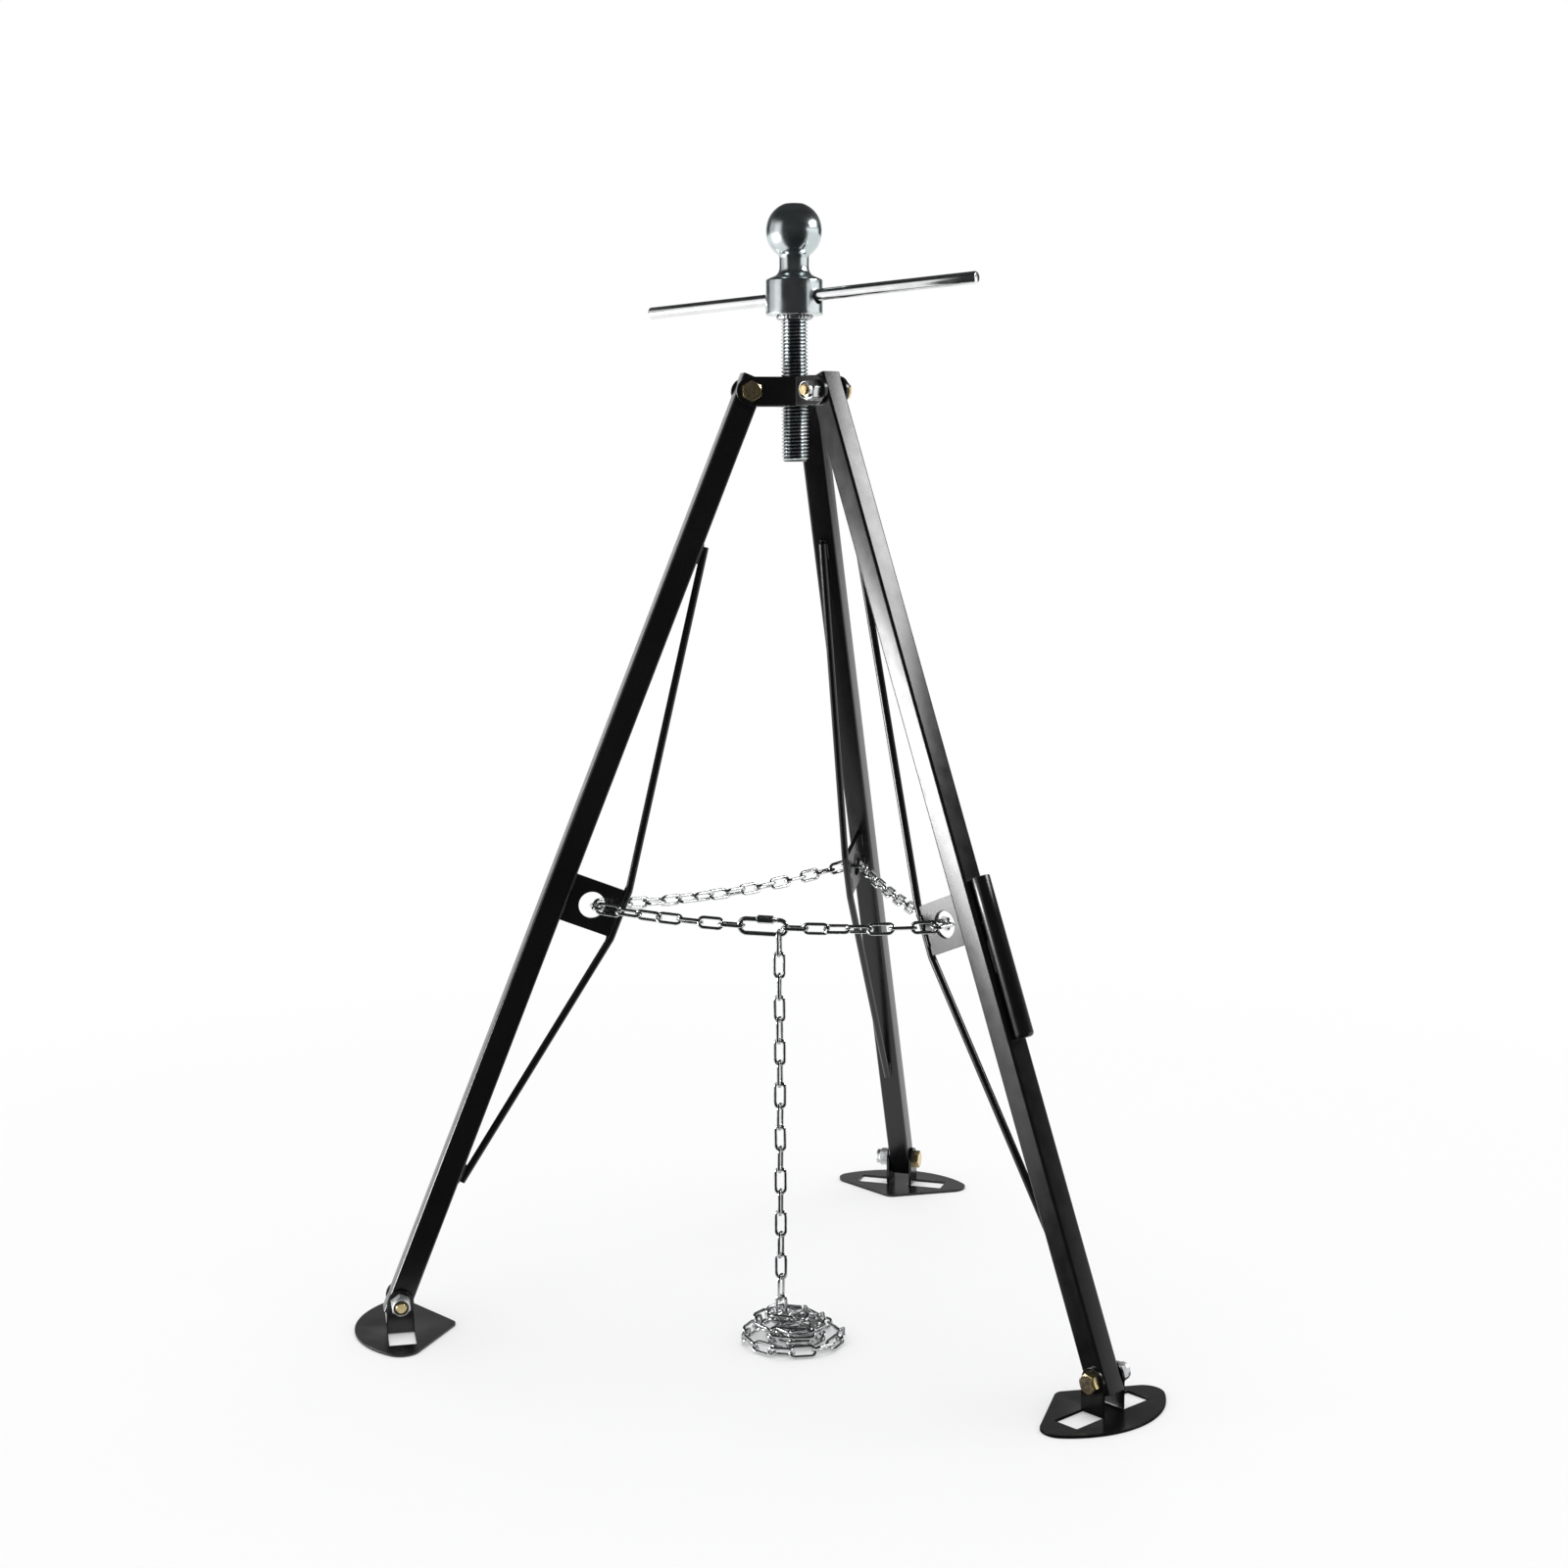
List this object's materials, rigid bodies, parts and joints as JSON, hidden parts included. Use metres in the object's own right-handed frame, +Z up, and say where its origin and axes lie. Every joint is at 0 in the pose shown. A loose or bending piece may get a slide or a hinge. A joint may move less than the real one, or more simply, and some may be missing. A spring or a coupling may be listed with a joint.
{
  "type": "tripod ball stabiliser stand",
  "caption": "Folding tripod stand with a screw-jack ball head, cross handle, braced square-tube legs, tilting foot plates and a limiting chain.",
  "frame": {"origin": "on the floor under the lifting screw's axis", "axes": "+Z up along the screw; -Y is the side seen first; the legs stand at 312.3, 72.3 and 192.3 degrees about +Z from +X"},
  "size_m": [0.831, 0.8466, 1.1749],
  "materials": {
    "black_powder": "satin black powder coat",
    "zinc_plate": "bright zinc plate",
    "bright_chrome": "bright plated bar",
    "yellow_zinc": "yellow zinc passivate",
    "nut_zinc": "clear zinc plate",
    "nylon": "matte nylon",
    "chain_zinc": "bright zinc plate"
  },
  "bodies": {
    "crown": {"hub_nut": "black_powder", "crown_plate_right": "black_powder", "crown_plate_back": "black_powder", "crown_plate_front": "black_powder", "pivot_bolts": "yellow_zinc", "pivot_nuts": "nut_zinc", "pivot_inserts": "nylon"},
    "screw_carriage": {"screw_weld": "zinc_plate"},
    "head": {"ball_head": "zinc_plate", "lift_screw": "zinc_plate"},
    "handle": {"handle_bar": "bright_chrome"},
    "leg_right": {"leg_tube_right": "black_powder", "gusset_right": "black_powder", "truss_rod_right": "black_powder", "corner_link_right": "chain_zinc", "storage_tube": "black_powder"},
    "foot_right": {"foot_pad_right": "black_powder", "foot_bolt_right": "yellow_zinc", "foot_nut_right": "nut_zinc", "foot_insert_right": "nylon"},
    "leg_back": {"leg_tube_back": "black_powder", "gusset_back": "black_powder", "truss_rod_back": "black_powder", "corner_link_back": "chain_zinc"},
    "foot_back": {"foot_pad_back": "black_powder", "foot_bolt_back": "yellow_zinc", "foot_nut_back": "nut_zinc", "foot_insert_back": "nylon"},
    "leg_left": {"leg_tube_left": "black_powder", "gusset_left": "black_powder", "truss_rod_left": "black_powder", "corner_link_left": "chain_zinc"},
    "foot_left": {"foot_pad_left": "black_powder", "foot_bolt_left": "yellow_zinc", "foot_nut_left": "nut_zinc", "foot_insert_left": "nylon"},
    "chain_front_left": {"chain_front_left": "chain_zinc"},
    "chain_front_right": {"chain_front_right": "chain_zinc"},
    "chain_right_front": {"chain_right_front": "chain_zinc"},
    "chain_right_back": {"chain_right_back": "chain_zinc"},
    "chain_back_right": {"chain_back_right": "chain_zinc"},
    "chain_back_left": {"chain_back_left": "chain_zinc"},
    "quick_link": {"quick_link": "chain_zinc", "chain_tail": "chain_zinc"},
    "quick_link_sleeve": {"quick_link_sleeve": "chain_zinc"},
    "chain_pile": {"chain_pile": "chain_zinc"}
  },
  "joints": [
    {"name": "leg_right_fold", "type": "hinge", "parent": "crown", "child": "leg_right", "pos_m": [0.03368, -0.03696, 0.98297], "axis": [0.7392, 0.6735, 0], "range_deg": [0, 18]},
    {"name": "leg_back_fold", "type": "hinge", "parent": "crown", "child": "leg_back", "pos_m": [0.01517, 0.04764, 0.98297], "axis": [-0.9529, 0.3034, 0], "range_deg": [0, 18]},
    {"name": "leg_left_fold", "type": "hinge", "parent": "crown", "child": "leg_left", "pos_m": [-0.04884, -0.01069, 0.98297], "axis": [0.2137, -0.9769, 0], "range_deg": [0, 18]},
    {"name": "foot_right_tilt", "type": "hinge", "parent": "leg_right", "child": "foot_right", "pos_m": [0.29191, -0.32036, 0.034], "axis": [0.7392, 0.6735, 0], "range_deg": [-90, 75]},
    {"name": "foot_back_tilt", "type": "hinge", "parent": "leg_back", "child": "foot_back", "pos_m": [0.13148, 0.41298, 0.034], "axis": [-0.9529, 0.3034, 0], "range_deg": [-90, 75]},
    {"name": "foot_left_tilt", "type": "hinge", "parent": "leg_left", "child": "foot_left", "pos_m": [-0.4234, -0.09262, 0.034], "axis": [0.2137, -0.9769, 0], "range_deg": [-90, 75]},
    {"name": "screw_lift", "type": "slide", "parent": "crown", "child": "screw_carriage", "axis": [0, 0, 1], "range_m": [-0.0581, 0.0545]},
    {"name": "head_turn", "type": "hinge", "parent": "screw_carriage", "child": "head", "pos_m": [0, 0, 1.14727], "axis": [0, 0, 1], "range_deg": [-5760, 5400]},
    {"name": "handle_slide", "type": "slide", "parent": "head", "child": "handle", "axis": [0.833, -0.5514, 0.0454], "range_m": [-0.18, 0.15]},
    {"name": "chain_front_left_swing", "type": "hinge", "parent": "leg_left", "child": "chain_front_left", "pos_m": [-0.20968, -0.05559, 0.44635], "axis": [0.2904, 0.9439, -0.157], "range_deg": [0, 98.72], "deforming": ["chain_front_left"]},
    {"name": "chain_front_right_swing", "type": "hinge", "parent": "leg_right", "child": "chain_front_right", "pos_m": [0.13894, -0.16658, 0.44635], "axis": [-0.3088, -0.9381, 0.157], "range_deg": [0, 98.72], "deforming": ["chain_front_right"]},
    {"name": "chain_right_front_swing", "type": "hinge", "parent": "leg_right", "child": "chain_right_front", "pos_m": [0.15298, -0.15379, 0.44635], "axis": [-0.9631, -0.2194, -0.1557], "range_deg": [0, 92.3], "deforming": ["chain_right_front"]},
    {"name": "chain_right_back_swing", "type": "hinge", "parent": "leg_back", "child": "chain_right_back", "pos_m": [0.0748, 0.20362, 0.44635], "axis": [0.9668, 0.2028, 0.1557], "range_deg": [0, 92.3], "deforming": ["chain_right_back"]},
    {"name": "chain_back_right_swing", "type": "hinge", "parent": "leg_back", "child": "chain_back_right", "pos_m": [0.05669, 0.20938, 0.44635], "axis": [0.6716, -0.7244, -0.1557], "range_deg": [0, 92.3], "deforming": ["chain_back_right"]},
    {"name": "chain_back_left_swing", "type": "hinge", "parent": "leg_left", "child": "chain_back_left", "pos_m": [-0.21374, -0.03703, 0.44635], "axis": [-0.659, 0.7359, 0.1557], "range_deg": [0, 92.3], "deforming": ["chain_back_left"]},
    {"name": "quick_link_drop", "type": "slide", "parent": "crown", "child": "quick_link", "axis": [0.1347, 0.4232, -0.896], "range_m": [0, 0.19598], "deforming": ["chain_tail"]},
    {"name": "chain_pile_drop", "type": "slide", "parent": "crown", "child": "chain_pile", "axis": [0, 0, -1], "range_m": [0, 0.07213], "deforming": ["chain_pile"]},
    {"name": "quick_link_open", "type": "slide", "parent": "quick_link", "child": "quick_link_sleeve", "axis": [-0.9529, 0.3034, 0], "range_m": [0, 0.0095]}
  ],
  "couplings": [
    {"joint": "leg_back_fold", "follows": "leg_right_fold", "ratio": 1},
    {"joint": "leg_left_fold", "follows": "leg_right_fold", "ratio": 1},
    {"joint": "screw_lift", "follows": "head_turn", "m_per_rad": 0.00057751},
    {"joint": "chain_front_left_swing", "follows": "leg_right_fold", "ratio": 5.4838},
    {"joint": "chain_front_right_swing", "follows": "leg_right_fold", "ratio": 5.4838},
    {"joint": "chain_right_front_swing", "follows": "leg_right_fold", "ratio": 5.1275},
    {"joint": "chain_right_back_swing", "follows": "leg_right_fold", "ratio": 5.1275},
    {"joint": "chain_back_right_swing", "follows": "leg_right_fold", "ratio": 5.1275},
    {"joint": "chain_back_left_swing", "follows": "leg_right_fold", "ratio": 5.1275},
    {"joint": "quick_link_drop", "follows": "leg_right_fold", "m_per_rad": 0.6235},
    {"joint": "chain_pile_drop", "follows": "leg_right_fold", "m_per_rad": 0.22929}
  ]
}
